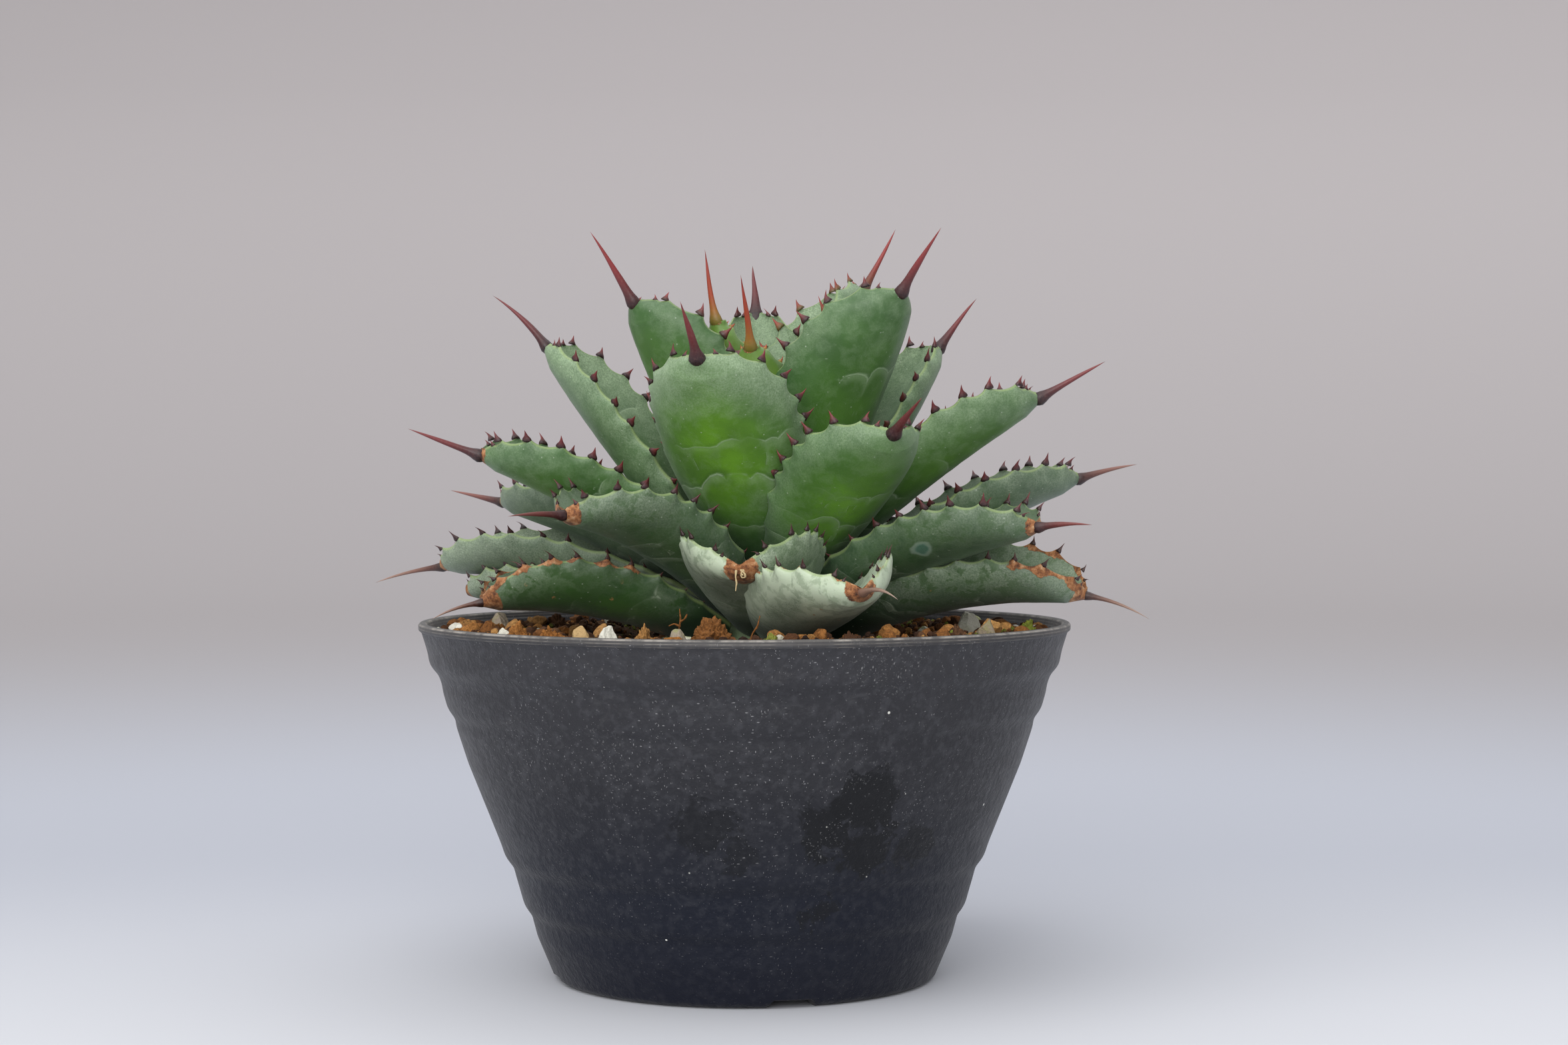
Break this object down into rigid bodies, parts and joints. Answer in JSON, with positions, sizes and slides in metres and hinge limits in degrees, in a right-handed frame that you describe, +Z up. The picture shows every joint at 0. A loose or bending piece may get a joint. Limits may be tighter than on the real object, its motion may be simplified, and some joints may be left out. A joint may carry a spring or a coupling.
{
  "type": "potted agave",
  "caption": "Young agave rosette with toothed leaves and dark end spines, rooted in gritty soil in a plain round nursery pot.",
  "frame": {"origin": "on the ground under the middle of the part, which is the axis of the pot to about a millimetre", "axes": "+Z up along the pot's axis; -Y is the side the picture was taken from; +X is to its right"},
  "size_m": [0.1454, 0.1247, 0.1396],
  "materials": {
    "pot_plastic": "matte, finely pebbled moulded plastic with dust, scuffs and lime stains",
    "soil_mix": "dry gritty mix of clay granules and pumice",
    "stem_skin": "smooth pale plant skin",
    "old_leaf": "waxy blue-green leaf skin, rubbed and scarred",
    "full_leaf": "waxy grey-green leaf skin with a pale bloom and bud prints",
    "young_leaf": "waxy fresh yellow-green leaf skin",
    "spine_horn": "satin dark red-brown horn"
  },
  "bodies": {
    "root": {"pot": "pot_plastic", "soil": "soil_mix", "stem": "stem_skin", "leaf_01": "old_leaf", "leaf_02": "old_leaf", "leaf_03": "old_leaf", "leaf_04": "old_leaf", "leaf_05": "old_leaf", "leaf_06": "old_leaf", "leaf_07": "old_leaf", "leaf_08": "old_leaf", "leaf_09": "old_leaf", "leaf_10": "old_leaf", "leaf_11": "old_leaf", "leaf_12": "old_leaf", "leaf_13": "old_leaf", "leaf_14": "full_leaf", "leaf_15": "full_leaf", "leaf_16": "full_leaf", "leaf_17": "full_leaf", "leaf_18": "full_leaf", "leaf_19": "full_leaf", "leaf_20": "full_leaf", "leaf_21": "full_leaf", "leaf_22": "full_leaf", "leaf_23": "full_leaf", "leaf_24": "full_leaf", "leaf_25": "full_leaf", "leaf_26": "full_leaf", "leaf_27": "young_leaf", "leaf_28": "young_leaf", "spine_01": "spine_horn", "spine_02": "spine_horn", "spine_04": "spine_horn", "spine_05": "spine_horn", "spine_07": "spine_horn", "spine_08": "spine_horn", "spine_09": "spine_horn", "spine_10": "spine_horn", "spine_11": "spine_horn", "spine_12": "spine_horn", "spine_13": "spine_horn", "spine_14": "spine_horn", "spine_15": "spine_horn", "spine_16": "spine_horn", "spine_17": "spine_horn", "spine_18": "spine_horn", "spine_19": "spine_horn", "spine_20": "spine_horn", "spine_21": "spine_horn", "spine_22": "spine_horn", "spine_23": "spine_horn", "spine_24": "spine_horn", "spine_25": "spine_horn", "spine_26": "spine_horn", "spine_27": "spine_horn", "spine_28": "spine_horn"}
  },
  "joints": []
}
